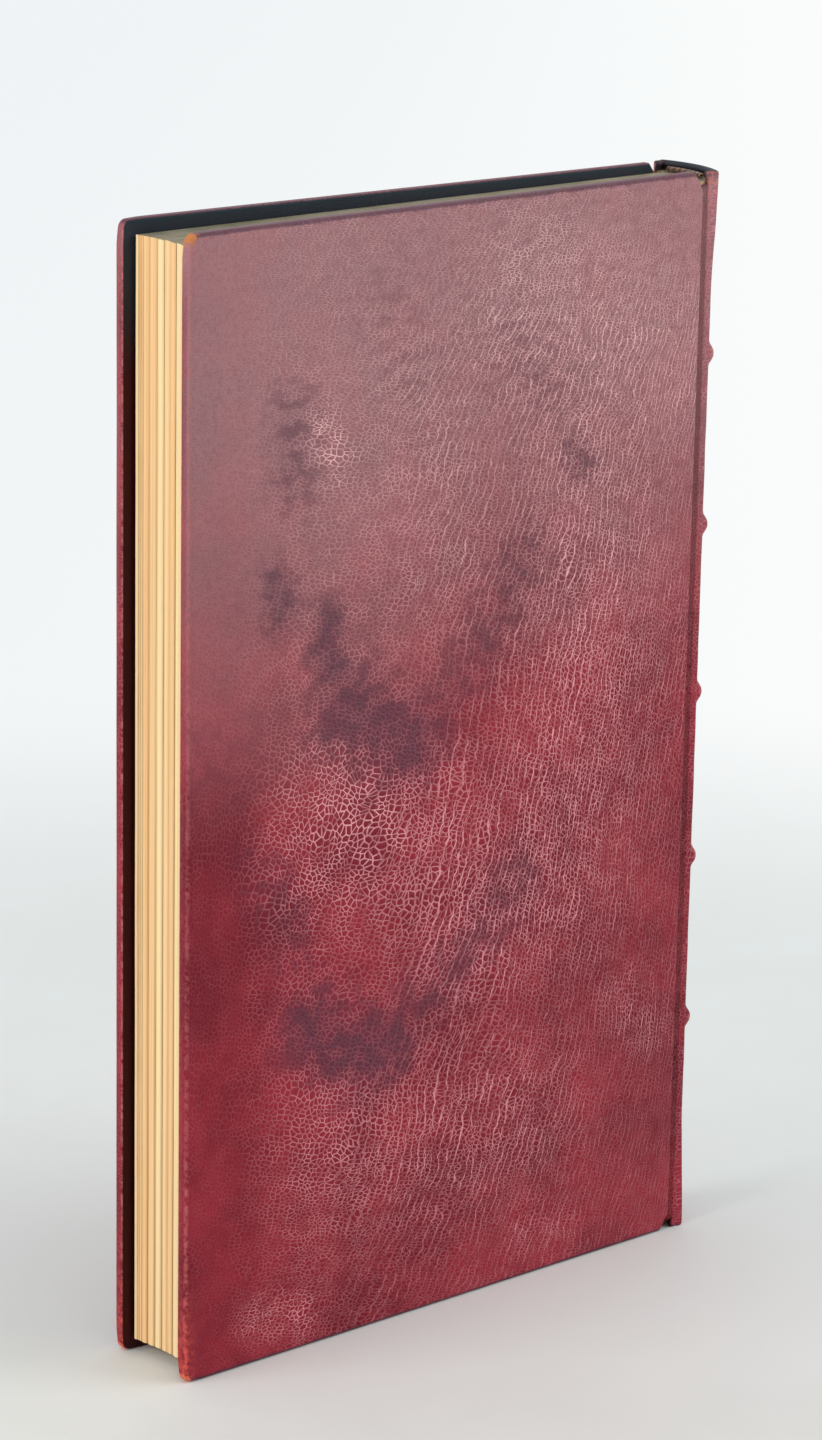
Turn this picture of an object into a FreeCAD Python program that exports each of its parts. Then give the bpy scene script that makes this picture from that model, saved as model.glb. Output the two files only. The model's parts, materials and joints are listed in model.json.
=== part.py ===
import FreeCAD, Part
import os
import re
import Sketcher

# An antique book bound in full leather, standing upright on its tail.
# The leaves are sewn on five raised cords, the cords are laced into two boards, and leather
# covers boards and back. Both boards turn on the leather joints beside the spine.
# Frame: +Z up, the fore-edge towards -X, the spine towards +X, the rear cover towards -Y and
# the front cover towards +Y. The origin is the middle of the footprint, on the ground.

# Driving sizes, in millimetres and degrees: name, value, meaning.
SIZES = [
    ("cover_height", 216.0, "head to tail of the covers"),
    ("rear_cover_width", 125.2, "fore-edge to joint, rear cover"),
    ("front_cover_width", 126.2, "fore-edge to joint, front cover, cut a little wider"),
    ("board_thickness", 1.7, "pasteboard"),
    ("cover_leather", 0.5, "leather over the outside and edges of a board"),
    ("turn_in_leather", 0.3, "pared leather turned in over the inside of a board"),
    ("turn_in_width", 14.0, "reach of the turned-in leather from each edge"),
    ("pastedown_thickness", 0.2, "paper glued inside a board"),
    ("pastedown_margin", 0.2, "pastedown to turned-in leather"),
    ("cover_corner_radius", 1.5, "rounding of the fore-edge corners, seen from the front"),
    ("outer_edge_radius", 0.8, "rounding of a cover's edges towards the outside"),
    ("inner_edge_radius", 0.4, "rounding of a cover's edges towards the leaves"),
    ("back_corner_run", 2.4, "width of the corner cut off beside the headcap"),
    ("back_corner_drop", 3.2, "height of the corner cut off beside the headcap"),
    ("joint_gap", 0.35, "hinge axis to cover, and hinge axis to shoulder"),
    ("hinge_standoff", 0.15, "hinge axis outside the cover's outer face"),
    ("spine_thickness", 16.4, "outer face to outer face of the covers at the joints"),
    ("spine_lean_angle", 4.0, "angle by which the spine has leaned over"),
    ("front_splay_angle", 2.55, "angle by which the front cover stands open"),
    ("leaf_splay_angle", 2.35, "angle by which the leaves fan out towards the fore-edge"),
    ("leaf_clearance", 0.25, "cover to leaves"),
    ("fore_square", 2.3, "cover's reach past the leaves at the fore-edge"),
    ("head_square", 1.8, "cover's reach past the leaves at the head, beside the spine"),
    ("tail_square", 3.4, "cover's reach past the leaves at the tail, beside the spine"),
    ("leaf_drop", 0.9, "sag of the leaves at the fore-edge"),
    ("fore_hollow", 1.5, "depth of the hollow fore-edge"),
    ("fore_hollow_radius", 22.0, "radius of the hollow fore-edge"),
    ("back_radius", 19.0, "rounded back of the leaves"),
    ("back_depth", 4.0, "hinge line to the outermost leather of the spine, between bands"),
    ("lining_thickness", 0.3, "paper lining on the back"),
    ("lining_cord_gap", 0.2, "lining to cord"),
    ("spine_leather", 0.7, "leather over the back"),
    ("shoulder_inset", 0.1, "shoulder of the spine inside the cover's outer face"),
    ("shoulder_radius", 1.0, "rounding of the spine's shoulders"),
    ("cord_radius", 0.8, "sewing cord"),
    ("band_half_span", 6.3, "middle of the spine to the end of a cord"),
    ("tail_panel", 44.9, "tail to the middle of the lowest band"),
    ("head_panel", 35.6, "head to the middle of the highest band"),
    ("lacing_length", 12.0, "reach of a laced-in cord end over its board"),
    ("lacing_spread", 5.0, "width of a laced-in cord end where it is fanned out"),
    ("lacing_thickness", 0.5, "laced-in cord end, beaten flat"),
    ("headband_radius", 0.5, "sewn headband"),
    ("headband_inset", 0.9, "middle of a headband inside the back of the leaves"),
    ("headband_half_span", 5.0, "middle of the spine to the end of a headband"),
    ("headcap_thickness", 0.5, "leather folded over a headband"),
    ("headcap_reach", 1.3, "headcap's reach over the leaves"),
    ("seat_clearance", 0.05, "headband to leaves, and linings to leather"),
]

# Sizes that follow from the driving ones.
DERIVED = {
    "cover_thickness": "cover_leather + board_thickness + turn_in_leather",
    "rear_reach": "joint_gap + rear_cover_width",
    "front_reach": "joint_gap + front_cover_width",
    "hinge_half": "spine_thickness / 2 + hinge_standoff",
    "lining_radius": "back_radius + lining_thickness",
    "room_radius": "lining_radius + seat_clearance",
    "leather_radius": "room_radius + spine_leather",
    "cord_ring": "back_radius + cord_radius",
    "band_radius": "cord_radius + spine_leather",
    "band_height": "cord_ring + band_radius - leather_radius",
    "back_centre": "back_depth - leather_radius",
    "shoulder_half": "spine_thickness / 2 - shoulder_inset",
    "shoulder_core": "shoulder_half - spine_leather",
    "leaf_width": "rear_reach - fore_square",
    "leaf_rear": "hinge_standoff + cover_thickness + leaf_clearance",
    "leaf_front_x": "hinge_half * 2 * sin(spine_lean_angle)",
    "leaf_front_y": "hinge_half * 2 * cos(spine_lean_angle) - leaf_rear",
    "band_pitch": "(cover_height - tail_panel - head_panel) / 4",
    "spine_x": "(rear_reach + hinge_half * sin(spine_lean_angle) - back_depth - band_height) / 2",
    "spine_y": "-front_reach * sin(front_splay_angle) / 2",
}

BAND_COUNT = 5
GROUND = "0"

# How far a cut runs past the piece that it goes through.
OVERRUN = "10"

# Two places nearer than this are the same place.
SAME = 0.001

doc = FreeCAD.newDocument("leather_book")
sheet = doc.addObject("Spreadsheet::Sheet", "Sizes")
for row, (alias, value, meaning) in enumerate(SIZES, start=1):
    sheet.set("A" + str(row), alias)
    sheet.set("B" + str(row), str(value))
    sheet.set("C" + str(row), meaning)
    sheet.setAlias("B" + str(row), alias)
doc.recompute()

ALIASES = [alias for alias, value, meaning in SIZES]


def formula(text):
    """Spell a formula in the sheet's own terms, with derived sizes written out."""

    def spell(match):
        word = match.group(0)
        if word in DERIVED:
            return "(" + formula(DERIVED[word]) + ")"
        if word in ALIASES:
            return "Sizes." + word
        return word

    return re.sub(r"[a-z][a-z_]*", spell, text)


def bind(thing, **properties):
    """Bind the properties of an object to formulas."""
    for name, text in properties.items():
        thing.setExpression(name, formula(text))


# A frame is a place in plan and a turn about +Z.
def frame(x, y, turn):
    return {"x": x, "y": y, "turn": turn}


def point_in(base, x, y):
    """Plan position of a point that is given in a frame."""
    place_x = "({x0}) + ({x}) * cos({a}) - ({y}) * sin({a})"
    place_y = "({y0}) + ({x}) * sin({a}) + ({y}) * cos({a})"
    values = {"x0": base["x"], "y0": base["y"], "a": base["turn"], "x": x, "y": y}
    return place_x.format(**values), place_y.format(**values)


def stand(thing, base, x="0", y="0", z="0", turn="0 deg"):
    """Place an object at a point of a frame."""
    place_x, place_y = point_in(base, x, y)
    thing.Placement = FreeCAD.Placement(FreeCAD.Vector(), FreeCAD.Rotation(FreeCAD.Vector(0, 0, 1), 1))
    thing.setExpression("Placement.Base.x", formula(place_x))
    thing.setExpression("Placement.Base.y", formula(place_y))
    thing.setExpression("Placement.Base.z", formula(z))
    thing.setExpression("Placement.Rotation.Angle", formula(base["turn"] + " + " + turn))
    return thing


spine = frame("spine_x", "spine_y", "-spine_lean_angle * 1 deg")
rear = frame(*point_in(spine, "0", "-hinge_half"), "0 deg")
front = frame(*point_in(spine, "0", "hinge_half"), "-front_splay_angle * 1 deg")


def block(name, base, low, size):
    """A box given by its low corner and its size, in a frame."""
    made = doc.addObject("Part::Box", name)
    bind(made, Length=size[0], Width=size[1], Height=size[2])
    return stand(made, base, *low)


def drum(name, base, radius, x, y="0", z=GROUND, height="cover_height"):
    """An upright cylinder about a point of a frame, with its seam towards the fore-edge."""
    made = doc.addObject("Part::Cylinder", name)
    bind(made, Radius=radius, Height=height)
    return stand(made, base, x, y, z, "180 deg")


def ring(name, ring_radius, bar_radius, half_span, z):
    """A round bar bent round the back, as far as half_span to each side."""
    made = doc.addObject("Part::Torus", name)
    half_angle = "asin(({}) / ({}))".format(half_span, ring_radius)
    bind(made, Radius1=ring_radius, Radius2=bar_radius, Angle3="2 * " + half_angle)
    return stand(made, spine, "back_centre", "0", z, "-" + half_angle)


def common(name, first, second):
    made = doc.addObject("Part::Common", name)
    made.Base = first
    made.Tool = second
    return made


def cut(name, first, second):
    made = doc.addObject("Part::Cut", name)
    made.Base = first
    made.Tool = second
    return made


def fuse(name, pieces):
    made = doc.addObject("Part::MultiFuse", name)
    made.Shapes = pieces
    made.Refine = True
    return made


def outline(body, name, plane, corners):
    """A closed sketch of straight lines whose corners are bound to formulas."""
    sketch = body.newObject("Sketcher::SketchObject", name)
    planes = [item for item in body.Origin.OriginFeatures if item.Role == plane]
    sketch.AttachmentSupport = (planes[0], [""])
    sketch.MapMode = "FlatFace"
    count = len(corners)
    # The corners start along a curve. The constraints below put them in place.
    start = [FreeCAD.Vector(index + 1, index * index, 0) for index in range(count)]
    for index in range(count):
        sketch.addGeometry(Part.LineSegment(start[index], start[(index + 1) % count]), False)
    for index in range(count):
        sketch.addConstraint(Sketcher.Constraint("Coincident", index, 2, (index + 1) % count, 1))
    for index, (across, along) in enumerate(corners):
        spot = start[index]
        level = sketch.addConstraint(Sketcher.Constraint("DistanceX", -1, 1, index, 1, spot.x))
        sketch.setExpression("Constraints[{}]".format(level), formula(across))
        upright = sketch.addConstraint(Sketcher.Constraint("DistanceY", -1, 1, index, 1, spot.y))
        sketch.setExpression("Constraints[{}]".format(upright), formula(along))
    return sketch


def slab(name, base, corners, start, thickness, inward):
    """A body padded from an outline in X and Z. Its outer face lies start inside the hinge axis,
    and it grows towards the leaves: +Y for inward 1, -Y for inward -1."""
    body = doc.addObject("PartDesign::Body", name)
    sketch = outline(body, name + "_outline", "XZ_Plane", corners)
    # The plane's normal points to -Y.
    sketch.setExpression("AttachmentOffset.Base.z", formula("{} * ({})".format(-inward, start)))
    pad = body.newObject("PartDesign::Pad", name + "_pad")
    pad.Profile = sketch
    pad.Reversed = inward > 0
    bind(pad, Length=thickness)
    doc.recompute()
    return stand(body, base)


def round_edges(body, name, radius, wanted):
    """Round the edges of a body that the test named wanted picks."""
    tip = body.Tip
    shape = tip.Shape
    names = ["Edge" + str(index) for index, edge in enumerate(shape.Edges, start=1) if wanted(edge)]
    fillet = body.newObject("PartDesign::Fillet", name)
    fillet.Base = (tip, names)
    bind(fillet, Radius=radius)
    doc.recompute()
    return fillet


def turned(name, profile, half_span, radius):
    """A body revolved about the middle of the back, symmetric about the spine's middle."""
    body = doc.addObject("PartDesign::Body", name)
    sketch = outline(body, name + "_profile", "XZ_Plane", profile)
    revolution = body.newObject("PartDesign::Revolution", name + "_turn")
    revolution.Profile = sketch
    revolution.ReferenceAxis = (sketch, ["V_Axis"])
    revolution.Midplane = True
    bind(revolution, Angle="2 * asin(({}) / ({}))".format(half_span, radius))
    doc.recompute()
    return stand(body, spine, "back_centre")


def band_level(index):
    """Height of the middle of a band, counted from the head."""
    return "tail_panel + {} * band_pitch".format(BAND_COUNT - index)


def cover_outline(reach, inset):
    """A cover seen from the front, without the corners beside the headcaps."""
    fore = "-({}) + {}".format(reach, inset)
    top = "cover_height - " + inset
    return [
        (fore, inset),
        ("-joint_gap - back_corner_run", inset),
        ("-joint_gap", "back_corner_drop + " + inset),
        ("-joint_gap", "cover_height - back_corner_drop - " + inset),
        ("-joint_gap - back_corner_run", top),
        (fore, top),
    ]


def lacing(side, base, inward, index):
    """A cord end that is fanned out and let into the outer face of its board."""
    level = band_level(index)
    far = "-joint_gap - lacing_length"
    corners = [
        ("-joint_gap", level + " - cord_radius"),
        ("-joint_gap", level + " + cord_radius"),
        (far, level + " + lacing_spread / 2"),
        (far, level + " - lacing_spread / 2"),
    ]
    name = "{}_laced_cord_{}".format(side, index)
    return slab(name, base, corners, "hinge_standoff + cover_leather", "lacing_thickness", inward)


def make_cover(side, base, reach, inward):
    """One cover: pasteboard, laced-in cord ends, leather and pastedown."""
    board_start = "hinge_standoff + cover_leather"
    blank = slab(side + "_cover_blank", base, cover_outline(reach, "0"),
                 "hinge_standoff", "cover_thickness", inward)
    core = slab(side + "_board_core", base, cover_outline(reach, "cover_leather"),
                board_start, "board_thickness", inward)

    def at_corner(edge):
        """An edge across the thickness, at a fore-edge corner."""
        bounds = edge.BoundBox
        across = bounds.XLength < SAME and bounds.ZLength < SAME
        return across and bounds.XMax < -sheet.rear_cover_width / 2

    round_edges(blank, side + "_cover_corners", "cover_corner_radius", at_corner)
    round_edges(core, side + "_board_corners", "cover_corner_radius - cover_leather", at_corner)

    def on_face(depth):
        """Edges of the face at this depth, apart from the joint edge and the cut corners."""
        level = inward * depth

        def wanted(edge):
            bounds = edge.BoundBox
            in_face = abs(bounds.YMin - level) < SAME and abs(bounds.YMax - level) < SAME
            return in_face and bounds.XMax < -sheet.joint_gap - SAME

        return wanted

    outer = sheet.hinge_standoff
    inner = outer + sheet.cover_leather + sheet.board_thickness + sheet.turn_in_leather
    round_edges(blank, side + "_outer_rounding", "outer_edge_radius", on_face(outer))
    round_edges(blank, side + "_inner_rounding", "inner_edge_radius", on_face(inner))

    # The window in the turned-in leather is open towards the joint.
    window_start = "hinge_standoff + cover_leather + board_thickness"
    window = slab(side + "_cover_window", base, [
        ("-({}) + turn_in_width".format(reach), "turn_in_width"),
        (OVERRUN, "turn_in_width"),
        (OVERRUN, "cover_height - turn_in_width"),
        ("-({}) + turn_in_width".format(reach), "cover_height - turn_in_width"),
    ], window_start, OVERRUN, inward)
    hollow = cut(side + "_leather_case", blank, core)
    leather = cut(side + "_cover_leather", hollow, window)

    laces = [lacing(side, base, inward, index + 1) for index in range(BAND_COUNT)]
    bed = doc.addObject("Part::Compound", side + "_lacing_beds")
    bed.Links = laces
    board = cut(side + "_board", core, bed)

    near = "-({}) + turn_in_width + pastedown_margin".format(reach)
    low = "turn_in_width + pastedown_margin"
    high = "cover_height - turn_in_width - pastedown_margin"
    pastedown = slab(side + "_pastedown", base, [
        (near, low), ("-joint_gap", low), ("-joint_gap", high), (near, high),
    ], window_start, "pastedown_thickness", inward)
    return [board, leather, pastedown] + laces


def make_text_block():
    """The sewn leaves: a wedge that is thicker at the fore-edge, with a hollow fore-edge, a
    rounded back and shoulders that the boards lie against."""
    slope = "leaf_drop / leaf_width"
    lift = "({}) * " + slope
    fan = "tan(leaf_splay_angle)"
    fore = "-leaf_width"
    inside = "joint_gap + 1"
    body = doc.addObject("PartDesign::Body", "leaf_wedge")
    section = outline(body, "leaf_section", "XY_Plane", [
        (fore, "leaf_rear"),
        (inside, "leaf_rear"),
        ("leaf_front_x + " + inside, "leaf_front_y - ({}) * {}".format(inside, fan)),
        (fore, "leaf_front_y + (leaf_width + leaf_front_x) * " + fan),
    ])
    pad = body.newObject("PartDesign::Pad", "leaf_wedge_pad")
    pad.Profile = section
    bind(pad, Length="cover_height")
    doc.recompute()
    stand(body, rear)

    core = drum("back_core", spine, "back_radius", "back_centre")
    neck = block("back_neck", spine, ("joint_gap", "-shoulder_core", GROUND),
                 ("back_depth", "2 * shoulder_core", "cover_height"))
    back = common("leaf_back", core, neck)
    whole = fuse("leaf_blank", [body, back])

    # The leaves sag towards the fore-edge, so head and tail slope together.
    past = "leaf_width + " + OVERRUN
    beyond = "back_depth + " + OVERRUN
    trimmed = slab("leaf_trim", rear, [
        ("-({})".format(past), "tail_square - " + lift.format(past)),
        (beyond, "tail_square + " + lift.format(beyond)),
        (beyond, "cover_height - head_square + " + lift.format(beyond)),
        ("-({})".format(past), "cover_height - head_square - " + lift.format(past)),
    ], "-" + OVERRUN, "spine_thickness + 4 * " + OVERRUN, 1)
    cropped = common("leaf_cropped", whole, trimmed)

    middle = "(leaf_rear + leaf_front_y + (leaf_width + leaf_front_x) * {}) / 2".format(fan)
    hollow = drum("fore_edge_hollow", rear, "fore_hollow_radius",
                  "fore_hollow - leaf_width - fore_hollow_radius", middle)
    return cut("text_block", cropped, hollow)


def make_spine():
    """The back: cords, paper linings between them, headbands, and the leather over all."""
    cords = []
    bands = []
    for index in range(1, BAND_COUNT + 1):
        level = band_level(index)
        cords.append(ring("sewing_cord_" + str(index), "cord_ring", "cord_radius",
                          "band_half_span", level))
        bands.append(ring("raised_band_" + str(index), "cord_ring", "band_radius",
                          "band_half_span + spine_leather", level))

    room = "(cord_radius + lining_cord_gap)"
    tops = ["cover_height - head_square"]
    tops += [band_level(index) + " - " + room for index in range(1, BAND_COUNT + 1)]
    feet = [band_level(index) + " + " + room for index in range(1, BAND_COUNT + 1)]
    feet.append("tail_square")
    linings = []
    for index, (top, foot) in enumerate(zip(tops, feet), start=1):
        profile = [
            ("back_radius", foot), ("lining_radius", foot),
            ("lining_radius", top), ("back_radius", top),
        ]
        linings.append(turned("spine_lining_" + str(index), profile, "band_half_span", "back_radius"))

    ring_radius = "back_radius - headband_inset"
    rise = "headband_radius + seat_clearance"
    head_level = "cover_height - head_square + " + rise
    tail_level = "tail_square - (" + rise + ")"
    headbands = [
        ring("head_headband", ring_radius, "headband_radius", "headband_half_span", head_level),
        ring("tail_headband", ring_radius, "headband_radius", "headband_half_span", tail_level),
    ]

    barrel = drum("spine_barrel", spine, "leather_radius", "back_centre")
    between = block("spine_block", spine, ("joint_gap", "-shoulder_half", GROUND),
                    ("back_depth", "2 * shoulder_half", "cover_height"))
    blank = common("spine_blank", barrel, between)
    doc.recompute()
    rounded = doc.addObject("Part::Fillet", "spine_rounded")
    rounded.Base = blank
    # Upright edges away from the joints are the shoulders' ridges.
    from_joint = between.Placement.inverse()
    ridges = []
    for index, edge in enumerate(blank.Shape.Edges, start=1):
        upright = abs(edge.BoundBox.ZLength - sheet.cover_height) < SAME
        if upright and from_joint.multVec(edge.CenterOfMass).x > SAME:
            ridges.append((index, sheet.shoulder_radius, sheet.shoulder_radius))
    rounded.Edges = ridges
    solid = fuse("spine_solid", [rounded] + bands)

    # Room for the back and its linings, closed above and below by the headcaps.
    room_drum = drum("back_room_drum", spine, "room_radius", "back_centre")
    room_block = block("back_room_block", spine,
                       ("-" + OVERRUN, "-shoulder_core", "headcap_thickness"),
                       ("back_depth + 2 * " + OVERRUN, "2 * shoulder_core",
                        "cover_height - 2 * headcap_thickness"))
    back_room = common("back_room", room_drum, room_block)
    mouth_drum = drum("mouth_drum", spine, "room_radius - headcap_reach", "back_centre",
                      "0", "-" + OVERRUN, "cover_height + 2 * " + OVERRUN)
    mouth_block = block("mouth_block", spine, ("-" + OVERRUN, "-shoulder_core", "-" + OVERRUN),
                        ("back_depth + 2 * " + OVERRUN, "2 * shoulder_core",
                         "cover_height + 2 * " + OVERRUN))
    mouth = common("headcap_mouth", mouth_drum, mouth_block)
    tunnels = doc.addObject("Part::Compound", "cord_tunnels")
    tunnels.Links = cords
    opened = cut("spine_opened", solid, back_room)
    hooked = cut("spine_hooked", opened, mouth)
    leather = cut("spine_leather", hooked, tunnels)
    return cords + linings + headbands + [leather]


nodes = make_cover("rear", rear, "rear_reach", 1)
nodes += make_cover("front", front, "front_reach", -1)
nodes.append(make_text_block())
nodes += make_spine()
doc.recompute()

for item in doc.Objects:
    if "Invalid" in item.State or "Error" in item.State:
        raise RuntimeError("failed: " + item.Label + " " + str(item.State))
for node in nodes:
    if node.Shape.isNull() or not node.Shape.isValid() or len(node.Shape.Solids) != 1:
        raise RuntimeError("bad shape: " + node.Label)

os.makedirs("parts", exist_ok=True)
for node in nodes:
    node.Shape.exportStep("parts/" + node.Label + ".step")
    print(node.Label, "volume", round(node.Shape.Volume / 1000, 3), "cm3")
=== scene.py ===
# %% [markdown]
# An old book stands on its tail, bound in full red morocco. It was printed, folded, sewn on
# five cords and covered by hand, and a century of shelves and damp hands has marked it.
# The frame holds its measured pieces. This lesson dresses them: leather, leaves, silk and light.
# %% Load the frame
import json
import math
import random

import bmesh
import bpy
from mathutils import Matrix, Vector, geometry, noise


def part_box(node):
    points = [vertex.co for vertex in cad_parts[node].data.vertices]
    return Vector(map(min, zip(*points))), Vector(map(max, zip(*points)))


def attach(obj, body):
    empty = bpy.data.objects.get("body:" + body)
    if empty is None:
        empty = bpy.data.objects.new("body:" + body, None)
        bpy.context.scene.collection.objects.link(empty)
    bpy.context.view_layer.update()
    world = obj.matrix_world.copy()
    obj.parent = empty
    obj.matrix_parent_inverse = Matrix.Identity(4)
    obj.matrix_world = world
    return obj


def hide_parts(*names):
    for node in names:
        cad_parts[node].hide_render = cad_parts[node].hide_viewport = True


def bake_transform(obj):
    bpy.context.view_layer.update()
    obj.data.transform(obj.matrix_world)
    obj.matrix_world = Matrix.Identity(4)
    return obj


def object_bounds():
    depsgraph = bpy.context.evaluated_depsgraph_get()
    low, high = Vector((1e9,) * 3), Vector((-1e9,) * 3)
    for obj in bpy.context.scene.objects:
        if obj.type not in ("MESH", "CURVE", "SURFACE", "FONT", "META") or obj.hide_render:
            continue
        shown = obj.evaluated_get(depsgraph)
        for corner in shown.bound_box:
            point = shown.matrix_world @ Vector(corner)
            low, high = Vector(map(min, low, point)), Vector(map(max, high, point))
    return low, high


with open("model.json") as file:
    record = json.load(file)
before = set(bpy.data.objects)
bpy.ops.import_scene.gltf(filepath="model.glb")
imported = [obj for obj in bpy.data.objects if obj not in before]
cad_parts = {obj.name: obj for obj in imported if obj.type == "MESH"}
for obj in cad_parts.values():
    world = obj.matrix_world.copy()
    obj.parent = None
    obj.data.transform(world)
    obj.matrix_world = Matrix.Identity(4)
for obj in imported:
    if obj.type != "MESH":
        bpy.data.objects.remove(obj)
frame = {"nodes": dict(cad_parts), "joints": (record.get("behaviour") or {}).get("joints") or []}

MM = 0.001
CAD_BOX = [list(corner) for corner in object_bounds()]
HINGES = {joint["name"]: Vector(joint["pos_m"]) for joint in frame["joints"]}

# %% [markdown]
# A photographer stood a little above the book and looked at its rear cover and its fore-edge.
# A camera could be aimed with a constraint, but three plain angles say the same thing and are
# easy to change: a turn about the upright, a dip below the level, and a slight roll.
# %% Camera
CAMERA_PLACE = Vector((-0.55581, -0.63080, 0.34917))
CAMERA_TURN = math.radians(41.223)
CAMERA_DIP = math.radians(15.565)
CAMERA_ROLL = math.radians(1.034)
CAMERA_LENS = 114.7

scene = bpy.context.scene
camera = bpy.data.objects.new("camera", bpy.data.cameras.new("camera"))
camera.data.lens = CAMERA_LENS
camera.matrix_world = (
    Matrix.Translation(CAMERA_PLACE)
    @ Matrix.Rotation(-CAMERA_TURN, 4, "Z")
    @ Matrix.Rotation(math.radians(90) - CAMERA_DIP, 4, "X")
    @ Matrix.Rotation(CAMERA_ROLL, 4, "Z")
)
bpy.context.collection.objects.link(camera)
scene.camera = camera
scene.view_settings.view_transform = "Standard"
print("camera at", [round(value, 3) for value in CAMERA_PLACE])

# %% [markdown]
# Every finish below is a small network of shader nodes. Adding them by hand takes many lines,
# so a Recipe adds a node, feeds its sockets and hands back the result, as a sentence reads.
# Patterns read Object coordinates, so they stay on the leather when the covers move.
# %% Colours as a painter reads them
def shade(red, green, blue):
    """A colour given by its screen values from 0 to 255, as the shader wants it."""
    def linear(value):
        value /= 255
        return value / 12.92 if value <= 0.04045 else ((value + 0.055) / 1.055) ** 2.4
    return (linear(red), linear(green), linear(blue), 1.0)


print("mid grey is", [round(value, 3) for value in shade(188, 188, 188)])


# %% A recipe for a material
class Recipe:
    """A material or a world whose nodes are added and wired one call at a time, in metres."""

    def __init__(self, name, shelf=bpy.data.materials):
        self.material = shelf.new(name)
        self.material.use_nodes = True
        self.tree = self.material.node_tree
        self.tree.nodes.clear()
        self.here = self.add("ShaderNodeTexCoord").outputs["Object"]

    def add(self, kind, inputs=None, **settings):
        node = self.tree.nodes.new(kind)
        for name, value in settings.items():
            setattr(node, name, value)
        for key, value in (inputs or {}).items():
            if isinstance(value, bpy.types.NodeSocket):
                self.tree.links.new(value, node.inputs[key])
            else:
                node.inputs[key].default_value = value
        return node

    def calc(self, operation, first, second=0.0, clamp=False):
        node = self.add("ShaderNodeMath", {0: first, 1: second}, operation=operation)
        node.use_clamp = clamp
        return node.outputs[0]

    def times(self, first, second, clamp=False):
        return self.calc("MULTIPLY", first, second, clamp)

    def plus(self, first, second, clamp=False):
        return self.calc("ADD", first, second, clamp)

    def mix(self, share, first, second):
        inputs = {0: share, 6: first, 7: second}
        return self.add("ShaderNodeMix", inputs, data_type="RGBA").outputs[2]

    def fade(self, value, low, high, start=0.0, end=1.0):
        inputs = {"Value": value, "From Min": low, "From Max": high, "To Min": start, "To Max": end}
        node = self.add("ShaderNodeMapRange", inputs, interpolation_type="SMOOTHSTEP")
        return node.outputs[0]

    def seen(self):
        """1 for what the eye sees, straight or in a reflection, and 0 for light on its way."""
        path = self.add("ShaderNodeLightPath").outputs
        mirrored = self.calc("MAXIMUM", path["Is Glossy Ray"], path["Is Transmission Ray"])
        return self.calc("MAXIMUM", path["Is Camera Ray"], mirrored)

    def mark(self, name):
        return self.add("ShaderNodeAttribute", attribute_name=name).outputs["Fac"]

    def axes(self, start=None):
        """The three measures of a place, one by one."""
        return self.add("ShaderNodeSeparateXYZ", {0: start or self.here}).outputs

    def place(self, *measures):
        """A place put together from measures."""
        return self.add("ShaderNodeCombineXYZ", dict(enumerate(measures))).outputs[0]

    def spot(self, start=None, turn=(0, 0, 0), stretch=(1, 1, 1)):
        inputs = {"Vector": start or self.here, "Rotation": turn, "Scale": stretch}
        return self.add("ShaderNodeMapping", inputs, vector_type="TEXTURE").outputs[0]

    def cloud(self, size, detail=4.0, rough=0.55, start=None):
        start = start or self.here
        inputs = {"Vector": start, "Scale": 1 / size, "Detail": detail, "Roughness": rough}
        return self.add("ShaderNodeTexNoise", inputs).outputs[0]

    def drift(self, size, reach, start):
        """The place, moved about by up to reach, so that a pattern isn't regular."""
        field = self.add("ShaderNodeTexNoise", {"Vector": start, "Scale": 1 / size, "Detail": 2.0})
        inputs = {0: field.outputs[1], 1: (reach, reach, reach), 2: start}
        return self.add("ShaderNodeVectorMath", inputs, operation="MULTIPLY_ADD").outputs[0]

    def seams(self, size, start, randomness):
        """Distance to the nearest edge between cells, in cells."""
        inputs = {"Vector": start, "Scale": 1 / size, "Randomness": randomness}
        return self.add("ShaderNodeTexVoronoi", inputs, feature="DISTANCE_TO_EDGE",
                        voronoi_dimensions="2D").outputs[0]

    def relief(self, height, depth, under=None):
        inputs = {"Height": height, "Distance": depth, "Strength": 1.0}
        if under is not None:
            inputs["Normal"] = under
        return self.add("ShaderNodeBump", inputs).outputs[0]

    def finish(self, colour, roughness, relief, **fixed):
        inputs = {"Base Color": colour, "Roughness": roughness, "Normal": relief}
        inputs.update({name.replace("_", " "): value for name, value in fixed.items()})
        shader = self.add("ShaderNodeBsdfPrincipled", inputs)
        self.add("ShaderNodeOutputMaterial", {"Surface": shader.outputs[0]})
        return self.material


print("recipe ready")

# %% [markdown]
# The book stands on a pale table that melts into a white ground behind it. A curved sweep of
# paper would hide the book from behind, so the floor stays flat and turns white with distance
# from the book. The white is only for what the eye sees, straight or in a reflection, so it
# throws no light on the leather.
# %% Floor
FLOOR_REACH = 8.0
TABLE_NEAR = 0.20
TABLE_FAR = 0.46
# Painted shade: the table is darker and warmer towards the front of the book.
TABLE_FRONT_SHADE = shade(212, 210, 203)
TABLE_COOL = shade(233, 239, 237)
TABLE_SHADE_SPAN = (-0.20, 0.12)
TABLE_MOTTLE = shade(228, 230, 226)
# Painted shade: the white ground is greyer to the left.
GROUND_LEFT = shade(240, 243, 245)
GROUND_RIGHT = shade(252, 254, 253)
GROUND_TURNS = (-0.5, 0.4)


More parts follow.
